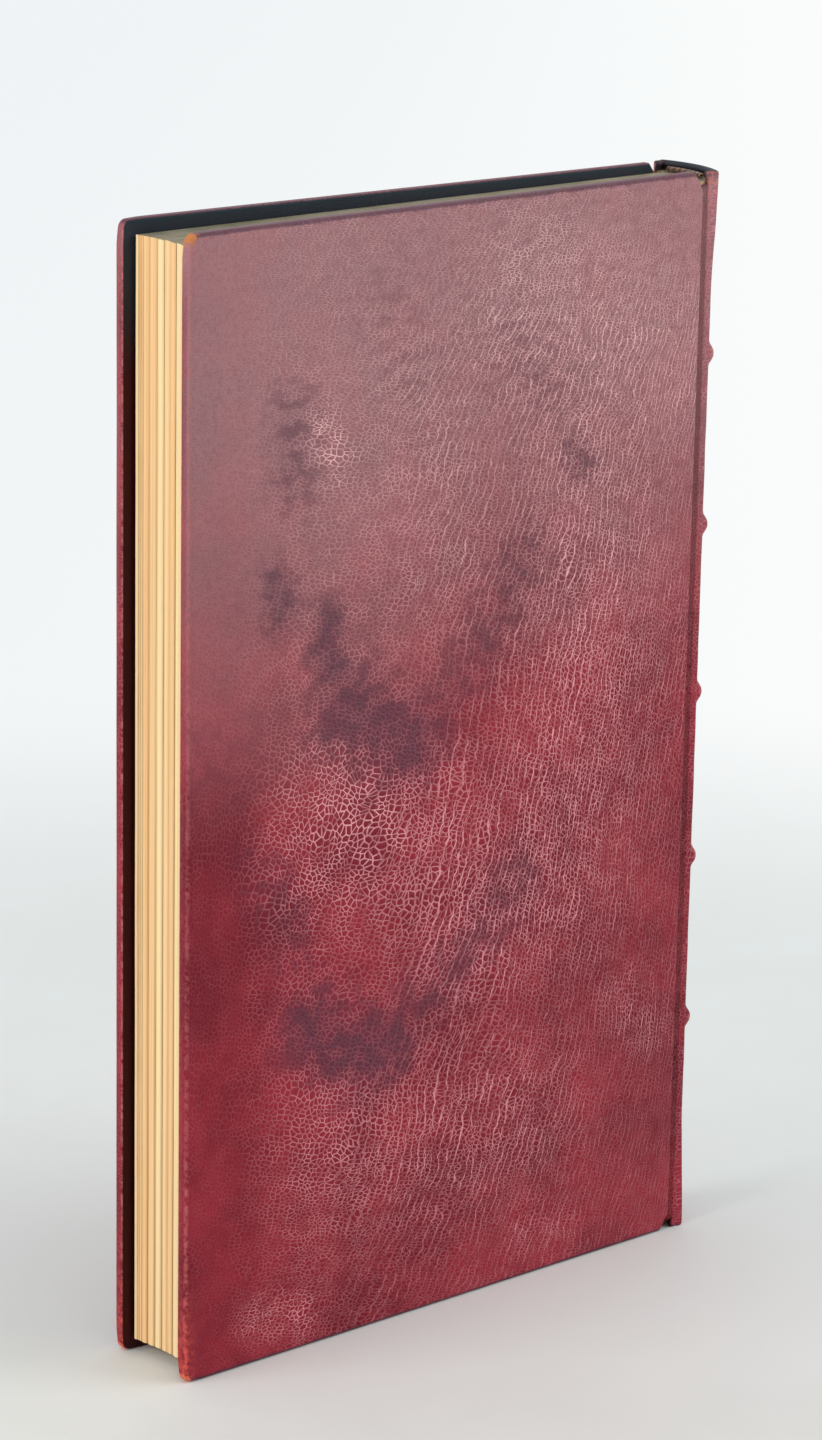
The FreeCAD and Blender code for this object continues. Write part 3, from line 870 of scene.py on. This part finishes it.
def outward(spot):
    """The direction out of the leather at a point in plan, and its share of the flare."""
    if abs(spot.y) <= abs(math.tan(ARC_HALF) * (spot.x - BACK_CENTRE)):
        return Vector((spot.x - BACK_CENTRE, spot.y, 0)).normalized(), 1.0
    if spot.x > RIDGE_X:
        centre = Vector((RIDGE_X, math.copysign(RIDGE_Y, spot.y), 0))
        way = Vector((spot.x, spot.y, 0)) - centre
        way.normalize()
        return way, ease(way.x * 1.6)
    return Vector((0, math.copysign(1, spot.y), 0)), 0.0


# %% Bands, flare and marks
FINER_PEBBLES = 1.5
NARROW_GRAIN = 0.35
NARROW_ROWS = 0.3


def band_height(level, way):
    """Height of a band from 0 to 1. It sinks towards the shoulders, where the cords turn in."""
    turn = math.degrees(math.acos(max(-1.0, min(1.0, way.x))))
    ridge = max(ease(1.15 - abs(level - band) / BAND_HALF_WIDTH) for band in BAND_LEVELS)
    return ridge * ease(1.40 - turn / 35)


def girth(spot):
    """Distance round the back from its middle, in metres."""
    turn = math.atan2(abs(spot.y), spot.x - BACK_CENTRE)
    around = SKIN_RADIUS * min(turn, ARC_HALF) + max(0.0, abs(spot.y) - RIDGE_Y)
    if abs(spot.y) > RIDGE_Y:
        around += max(0.0, RIDGE_X - spot.x)
    return math.copysign(around, spot.y) * MM


def shape_back(bm):
    """Raise the bands on the outer skin, and flare head and tail."""
    for vert in bm.verts:
        way, share = outward(vert.co)
        level = vert.co.z
        from_end = min(level, HEIGHT - level)
        flare = FLARE * ease(1 - from_end / FLARE_REACH) * share
        depth = (Vector((vert.co.x, vert.co.y, 0)) - Vector((BACK_CENTRE, 0, 0))).length
        skin = depth > SKIN_RADIUS - SPINE_LEATHER / 2 or share < 1
        band = BAND_RISE * band_height(level, way) if skin else 0.0
        uneven = 0.06 * noise.noise(Vector((vert.co.y, level, 3)) / 6) * share
        vert.co += way * (flare + band + uneven)
        vert.co.y = max(-SHOULDER_HALF, min(SHOULDER_HALF, vert.co.y))


def high_haze_and_sheen(spot):
    """The painted sheen, a grey haze, on the narrow leathers, from 0 to 1. It starts where it does
    beside the joint.
    """
    return ease((spot.z - HAZE_START - HAZE_SHIFT) / HAZE_SPAN)


def spine_marks(bm):
    """Bands rubbed and given a painted highlight, soiled ends and a haze of painted sheen, on pebbles
    finer than those of the covers.
    """
    def below_head(spot, reach):
        return ease(1 - (HEIGHT - spot.z) / reach)

    def shoulder(spot):
        return ease(abs(spot.y) - 6)

    def soil(spot):
        return 0.9 * ease(1.3 - (HEIGHT - spot.z) / 1.6) + 0.8 * ease(1.2 - spot.z / 1.2)

    # Rubbed bands and shoulders: part real wear, part painted highlight.
    def rub_and_highlight(spot):
        bands = 0.7 * band_height(spot.z, outward(spot)[0])
        return bands + 0.5 * below_head(spot, 12) * shoulder(spot)

    # Where the inside of the back is painted dark as shade.
    def turn_in(spot):
        depth = math.hypot(spot.x - BACK_CENTRE, spot.y)
        inside = depth < SKIN_RADIUS - 0.35 and abs(spot.y) < SHOULDER_HALF - 0.35
        return 0.85 if inside else 0.0

    paint(bm, {
        "across": lambda spot: FINER_PEBBLES * girth(spot),
        "up": lambda spot: FINER_PEBBLES * spot.z * MM,
        "stain": soil,
        "rub_and_highlight": rub_and_highlight,
        "grain": lambda spot: NARROW_GRAIN,
        "rows": lambda spot: NARROW_ROWS,
        "haze_and_sheen": lambda spot: 0.48 * high_haze_and_sheen(spot),
        "scuff": lambda spot: 0.42 * below_head(spot, 10) * shoulder(spot),
        "turn_in": turn_in,
    })


# %% Build the back
def make_spine():
    bm = bmesh.new()
    edges = spine_profile(bm)
    first = edges
    edges = pull(bm, edges, (RIDGE_X - JOINT_GAP, 0, 0), 3)
    edges = sweep(bm, edges, (RIDGE_X, -RIDGE_Y), math.pi / 2 - ARC_HALF, 6)
    edges = sweep(bm, edges, (BACK_CENTRE, 0), 2 * ARC_HALF, 26)
    edges = sweep(bm, edges, (RIDGE_X, RIDGE_Y), math.pi / 2 - ARC_HALF, 6)
    edges = pull(bm, edges, (JOINT_GAP - RIDGE_X, 0, 0), 3)
    bmesh.ops.contextual_create(bm, geom=first)
    bmesh.ops.contextual_create(bm, geom=edges)
    bmesh.ops.remove_doubles(bm, verts=bm.verts, dist=0.0005)
    spine_marks(bm)
    shape_back(bm)
    spine = settle(bm, "spine_skin", SPINE_PLACE, [MOROCCO])
    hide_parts("spine_leather")
    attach(spine, "book_block")


make_spine()

# %% [markdown]
# Between each cover and the back the leather bends. That strip is the book's hinge, so it is
# made as a piece of its own. It lies a little lower than both, as a worn joint does.
# %% Joint strips
STRIP_REACH = 1.3
STRIP_STEPS = 12
STRIP_END = 2.4
STRIP_DROP = 0.03
STRIP_DIP = 0.06
STRIP_THICK = 0.4


def make_joint(side, place, way):
    """A strip of leather over the hinge line. It sags towards the leaves in its middle."""
    bm = bmesh.new()
    bmesh.ops.create_grid(bm, x_segments=STRIP_STEPS, y_segments=150, size=0.5)
    for vert in bm.verts:
        across, up = vert.co.x * 2, vert.co.y + 0.5
        dip = STANDOFF + STRIP_DROP + STRIP_DIP * ease(1.1 - abs(across))
        level = STRIP_END + up * (HEIGHT - 2 * STRIP_END)
        vert.co = Vector((across * STRIP_REACH, dip, level))
    bmesh.ops.solidify(bm, geom=bm.faces[:], thickness=STRIP_THICK)
    lowest = min(vert.co.y for vert in bm.verts)
    bmesh.ops.translate(bm, vec=(0, STANDOFF + STRIP_DROP - lowest, 0), verts=bm.verts)
    paint(bm, {
        "across": lambda spot: FINER_PEBBLES * spot.x * MM,
        "up": lambda spot: FINER_PEBBLES * spot.z * MM,
        # The middle of the strip, sunk in its groove, is rubbed light: partly wear, partly painted
        # highlight.
        "rub_and_highlight": lambda spot: 0.2 * ease(1.4 - abs(spot.x) / 0.9),
        "grain": lambda spot: NARROW_GRAIN,
        "rows": lambda spot: NARROW_ROWS,
        # Painted sheen towards the head, as on the covers.
        "haze_and_sheen": lambda spot: 0.55 * high_haze_and_sheen(spot),
    })
    bmesh.ops.scale(bm, vec=(1, way, 1), verts=bm.verts)
    joint = settle(bm, side + "_joint_leather", place, [MOROCCO])
    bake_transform(joint)


make_joint("rear", REAR_PLACE, 1)
make_joint("front", FRONT_PLACE, -1)

# %% [markdown]
# The leaves are gathered in sections of folded sheets. Seen from the fore-edge each section is
# a bundle of fine lines, some bundles cream and some toasted, with brown dust between them.
# A single block would look like wood. So every section is a slab of its own, a copy of one
# sliced cube, bent by formula to the fan, the hollow fore-edge and the rounded back.
# %% Paper colours
PAPER_CREAM = shade(255, 226, 172)
PAPER_PEACH = shade(246, 190, 130)
PAPER_TOAST = shade(150, 98, 48)


# %% Paper seen edge on
def leaf_vector(recipe, across, along):
    """A place with fine steps from leaf to leaf and slow change along them."""
    axes = recipe.axes()
    leaf = recipe.times(recipe.mark("leaf"), across)
    return recipe.place(leaf, recipe.times(axes[0], along), recipe.times(axes[2], along))


def leaf_edges():
    """Trimmed paper edges: cream and peach bundles, fine lines, and dust between bundles."""
    recipe = Recipe("leaf_edges")
    fine = recipe.cloud(1.0, 3.0, 0.7, leaf_vector(recipe, 6.0, 9.0))
    broad = recipe.cloud(1.0, 2.0, 0.6, leaf_vector(recipe, 1.3, 6.0))
    tone = recipe.plus(recipe.mark("tone"), recipe.calc("SUBTRACT", broad, 0.5), clamp=True)
    colour = recipe.mix(tone, PAPER_PEACH, PAPER_CREAM)
    lines = recipe.fade(fine, 0.28, 0.50, 0.30, 0.0)
    colour = recipe.mix(lines, colour, PAPER_TOAST)
    colour = recipe.mix(recipe.times(recipe.mark("dust"), 0.68), colour, PAPER_TOAST)
    relief = recipe.relief(fine, 0.00008)
    return recipe.finish(colour, 0.85, relief, Specular_IOR_Level=0.2)


LEAF_EDGES = leaf_edges()


# %% [markdown]
# The head of the leaves was gilded to keep dust out. Bright gold would be wrong on a book this
# old: the leaf has worn to a dull olive film, so it is only part metal and quite rough.
# %% Gilt head
GILT_OLIVE = shade(150, 140, 110)
GILT_DARK = shade(88, 82, 62)
GILT_DUST = shade(150, 146, 132)


def gilt_head():
    """Gold leaf on the head of the leaves, tarnished olive and dulled by dust."""
    recipe = Recipe("tarnished_gilt")
    fine = recipe.cloud(1.0, 4.0, 0.7, leaf_vector(recipe, 5.0, 12.0))
    dust = recipe.fade(recipe.cloud(0.01, 5.0), 0.35, 0.7)
    colour = recipe.mix(recipe.fade(fine, 0.35, 0.65), GILT_DARK, GILT_OLIVE)
    colour = recipe.mix(recipe.times(dust, 0.4), colour, GILT_DUST)
    relief = recipe.relief(fine, 0.00005)
    roughness = recipe.fade(dust, 0.0, 1.0, 0.35, 0.6)
    return recipe.finish(colour, roughness, relief, Metallic=0.35)


GILT_HEAD = gilt_head()


# %% [markdown]
# A page shows only when a cover is open. Air and light brown it from its edges inwards, damp
# leaves small rust spots, and the mould it was made on leaves faint lines.
# %% Page and pastedown
PAGE_CREAM = shade(236, 218, 184)
PAGE_TAN = shade(222, 198, 156)
PAGE_EDGE = shade(190, 150, 100)
FOXING = shade(176, 122, 70)
PASTEDOWN_CREAM = shade(226, 204, 166)


def page_paper(name, base):
    """Old plain paper: browned towards its edges, lightly foxed and cockled."""
    recipe = Recipe(name)
    axes = recipe.axes()
    fore = recipe.fade(axes[0], -0.062, -0.040, 1.0, 0.0)
    head = recipe.fade(axes[2], 0.188, 0.212, 0.0, 1.0)
    tail = recipe.fade(axes[2], 0.004, 0.026, 1.0, 0.0)
    rim = recipe.calc("MAXIMUM", fore, recipe.calc("MAXIMUM", head, tail))
    rim = recipe.times(rim, recipe.fade(recipe.cloud(0.012), 0.2, 0.8, 0.3, 0.8))
    colour = recipe.mix(recipe.cloud(0.05, 4.0), base, PAGE_TAN)
    colour = recipe.mix(rim, colour, PAGE_EDGE)
    foxing = recipe.fade(recipe.cloud(0.006, 2.0), 0.68, 0.76, 0.0, 0.5)
    colour = recipe.mix(foxing, colour, FOXING)
    laid = recipe.add("ShaderNodeTexWave", {"Vector": recipe.here, "Scale": 300.0, "Distortion": 0.6},
                      bands_direction="Z").outputs[1]
    colour = recipe.mix(recipe.times(laid, 0.06), colour, PAGE_EDGE)
    relief = recipe.relief(recipe.cloud(0.03, 2.0), 0.0004, recipe.relief(laid, 0.00002))
    return recipe.finish(colour, 0.85, relief, Specular_IOR_Level=0.2)


FLYLEAF = page_paper("flyleaf_paper", PAGE_CREAM)
PASTEDOWN = page_paper("pastedown_paper", PASTEDOWN_CREAM)

# %% [markdown]
# From the front face to the rear one, the list gives each section its share of the thickness
# and how cream it is. An array of equal slabs would be shorter, but real sections differ.
# %% Sections of leaves
SECTIONS = [
    (0.80, 0.7), (0.45, 0.0), (0.45, 0.5), (1.40, 0.35), (1.70, 0.45), (1.60, 1.0), (1.50, 0.55),
    (1.40, 0.40), (1.70, 1.0), (1.10, 0.5), (1.10, 0.4), (1.30, 0.6), (1.45, 0.5),
]
LEAF_LOW, LEAF_HIGH = (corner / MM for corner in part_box("text_block"))
LEAF_FAN = math.tan(math.radians(2.35))
LEAF_SAG = 0.0073
FORE_INSET = 0.1
FORE_HOLLOW = 0.9
LEAF_BACK_RADIUS = 18.95
LEAF_SHOULDER = 7.3
BEND = 0.9
LEAF_SPINE = SPINE_PLACE.copy()
LEAF_SPINE.translation = LEAF_SPINE.translation / MM
SECTION_PROUD = 0.12
SECTION_RISE = 0.06
ROUNDED_FOLD = 0.16
ROUNDED_HEAD = 0.08
COCKLE = 0.05
DROOP = 0.7
print("sections", len(SECTIONS), "thickness", round(sum(thick for thick, _ in SECTIONS), 2), "mm")


def unit_slab(cuts):
    """A cube from 0 to 1, sliced into equal parts along each axis."""
    bm = bmesh.new()
    bmesh.ops.create_cube(bm, size=1)
    bmesh.ops.translate(bm, vec=(0.5, 0.5, 0.5), verts=bm.verts)
    for axis, count in enumerate(cuts):
        for step in range(1, count):
            place, normal = Vector(), Vector()
            place[axis], normal[axis] = step / count, 1
            slice_at(bm, place, normal)
    return bm


def leaf_spot(along, through, up):
    """Place of a point in the block: along from fore-edge to back, through from the rear face
    to the front one, and up from tail to head. Each runs from 0 to 1."""
    fore = LEAF_LOW.x + FORE_INSET + FORE_HOLLOW * math.sin(math.pi * through)
    reach = min(along / BEND, 1.0)
    x = fore + (LEAF_SPINE.translation.x - fore) * reach
    front = LEAF_HIGH.y - (x - LEAF_LOW.x) * LEAF_FAN
    y = LEAF_LOW.y + (front - LEAF_LOW.y) * through
    if along > BEND:
        past = (along - BEND) / (1 - BEND)
        spot = LEAF_SPINE.inverted() @ Vector((x, y, 0))
        spot.y += (LEAF_SHOULDER * (2 * through - 1) - spot.y) * ease(past * 3)
        back = BACK_CENTRE + math.sqrt(LEAF_BACK_RADIUS ** 2 - spot.y ** 2)
        spot.x += (back - spot.x) * past
        spot = LEAF_SPINE @ spot
        x, y = spot.x, spot.y
    lift = (x - LEAF_HIGH.x) * LEAF_SAG
    head = LEAF_HIGH.z + lift - DROOP * (1 - through) ** 2 * (1 - reach)
    tail = LEAF_LOW.z + (x - LEAF_LOW.x) * LEAF_SAG
    return Vector((x, y, tail + (head - tail) * up))


# %% Gather the sections
def make_leaves():
    random.seed(7)
    total = sum(thick for thick, _ in SECTIONS)
    slab = unit_slab((20, 6, 40))
    template = bpy.data.meshes.new("section")
    slab.to_mesh(template)
    slab.free()
    bm = bmesh.new()
    leaf = bm.verts.layers.float.new("leaf")
    tone = bm.verts.layers.float.new("tone")
    dust = bm.verts.layers.float.new("dust")
    start = total
    for thick, cream in SECTIONS:
        start -= thick
        known = set(bm.verts)
        bm.from_mesh(template)
        proud = random.uniform(-SECTION_PROUD, SECTION_PROUD)
        rise = random.uniform(-SECTION_RISE, SECTION_RISE)
        for vert in set(bm.verts) - known:
            along, part, up = vert.co
            crown = abs(2 * part - 1)
            through = (start + thick * (0.01 + 0.98 * part)) / total
            spot = leaf_spot(along, through, up)
            spot.x += (proud + ROUNDED_FOLD * crown ** 4) * max(0.0, 1 - along * 20)
            if abs(up - 0.5) > 0.49:
                spot.z += (rise - ROUNDED_HEAD * crown ** 4) * (1 if up > 0.5 else -1)
            spot.y += COCKLE * noise.noise(Vector((start, spot.z / 25, along * 4)))
            vert.co = spot
            vert[leaf] = through * total
            vert[tone] = cream
            dust_and_sheen = (0.35 + 0.75 * through) * (1.1 - 0.6 * up)
            vert[dust] = ease(crown * 2.4 - 1.25) * dust_and_sheen
    for face in bm.faces:
        face.normal_update()
        if face.normal.z > 0.7:
            face.material_index = 1
        elif abs(face.normal.y) > 0.7 and face.calc_center_median().x < LEAF_SPINE.translation.x:
            face.material_index = 2
    bpy.data.meshes.remove(template)
    leaves = settle(bm, "leaves", Matrix.Identity(4), [LEAF_EDGES, GILT_HEAD, FLYLEAF])
    leaves.data.set_sharp_from_angle(angle=math.radians(40))
    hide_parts("text_block")
    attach(leaves, "book_block")


make_leaves()

# %% [markdown]
# At head and tail a band of silk is sewn over a thin core, three turns of gold and three of
# crimson in turn. A striped tube would do from afar, but the stitches show under the headcap,
# so each turn is one small ring, tilted as a wound thread lies.
# %% Silk
SILK_GOLD = shade(150, 114, 58)
SILK_CRIMSON = shade(92, 30, 32)
SILK_DUST = shade(84, 62, 44)


def silk(name, colour):
    """Twisted silk thread with a soft shine, darkened by dust."""
    recipe = Recipe(name)
    dust = recipe.fade(recipe.cloud(0.003, 4.0), 0.3, 0.7, 0.0, 0.5)
    tinted = recipe.mix(dust, colour, SILK_DUST)
    strands = recipe.add("ShaderNodeTexWave", {"Vector": recipe.here, "Scale": 4000.0},
                         bands_direction="DIAGONAL").outputs[1]
    relief = recipe.relief(strands, 0.00003)
    return recipe.finish(tinted, 0.45, relief, Sheen_Weight=0.4)


GOLD_SILK = silk("gold_silk", SILK_GOLD)
CRIMSON_SILK = silk("crimson_silk", SILK_CRIMSON)

# %% Headbands
BAND_RING = 18.1
BAND_CORE = 0.34
THREAD = 0.13
THREAD_TURNS = 42
BAND_HALF = 5.0
BAND_SWEEP = math.asin(BAND_HALF / BAND_RING)
THREAD_TILT = math.radians(24)


def wind(bm, turn, place):
    """One turn of thread round the core, at its place along the band."""
    made = bmesh.ops.create_circle(bm, cap_ends=False, radius=THREAD, segments=6,
                                   matrix=place @ Matrix.Translation((BAND_CORE, 0, 0))
                                   @ Matrix.Rotation(math.pi / 2, 4, "X"))
    edges = list(dict.fromkeys(edge for vert in made["verts"] for edge in vert.link_edges))
    known = set(bm.faces)
    axis = place.to_3x3() @ Vector((0, 0, 1))
    bmesh.ops.spin(bm, geom=made["verts"] + edges, cent=place.translation, axis=axis,
                   angle=2 * math.pi, steps=12, use_merge=True)
    for face in set(bm.faces) - known:
        face.material_index = (turn // 3) % 2


def make_headband(end):
    low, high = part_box(end + "_headband")
    level = (low.z + high.z) / 2 / MM
    bm = bmesh.new()
    for turn in range(THREAD_TURNS):
        angle = BAND_SWEEP * (2 * turn / (THREAD_TURNS - 1) - 1)
        place = (Matrix.Translation((BACK_CENTRE, 0, level)) @ Matrix.Rotation(angle, 4, "Z")
                 @ Matrix.Translation((BAND_RING, 0, 0)) @ Matrix.Rotation(THREAD_TILT, 4, "X")
                 @ Matrix.Rotation(math.pi / 2, 4, "X"))
        wind(bm, turn, place)
    band = settle(bm, end + "_headband_silk", SPINE_PLACE, [GOLD_SILK, CRIMSON_SILK])
    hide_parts(end + "_headband")
    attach(band, "book_block")


make_headband("head")
make_headband("tail")

# %% [markdown]
# The pieces that already have their true form stay as the frame holds them, and only get their
# finish: grey pasteboard, beaten hemp cords, coarse lining paper and the pastedowns.
# %% Board, cord and lining
def fibrous(name, base, dark, size, depth):
    """Fibres and flecks in a dull, dry material."""
    recipe = Recipe(name)
    flecks = recipe.fade(recipe.cloud(size, 6.0, 0.7), 0.4, 0.62)
    colour = recipe.mix(flecks, base, dark)
    stretched = recipe.cloud(size, 4.0, 0.6, recipe.spot(stretch=(1, 1, 6)))
    relief = recipe.relief(stretched, depth)
    return recipe.finish(colour, 0.9, relief, Specular_IOR_Level=0.2)


FINISHES = {
    "board": fibrous("grey_pasteboard", shade(150, 136, 112), shade(112, 98, 78), 0.002, 0.0001),
    "cord": fibrous("hemp_cord", shade(178, 150, 104), shade(118, 92, 56), 0.0008, 0.0002),
    "lining": fibrous("lining_paper", shade(186, 160, 118), shade(140, 112, 76), 0.0015, 0.00005),
    "pastedown": PASTEDOWN,
}

for name, node in frame["nodes"].items():
    kind = next((word for word in FINISHES if word in name), None)
    if kind:
        node.data.materials.clear()
        node.data.materials.append(FINISHES[kind])
print("finished", sum(bool(node.data.materials) for node in frame["nodes"].values()), "nodes")
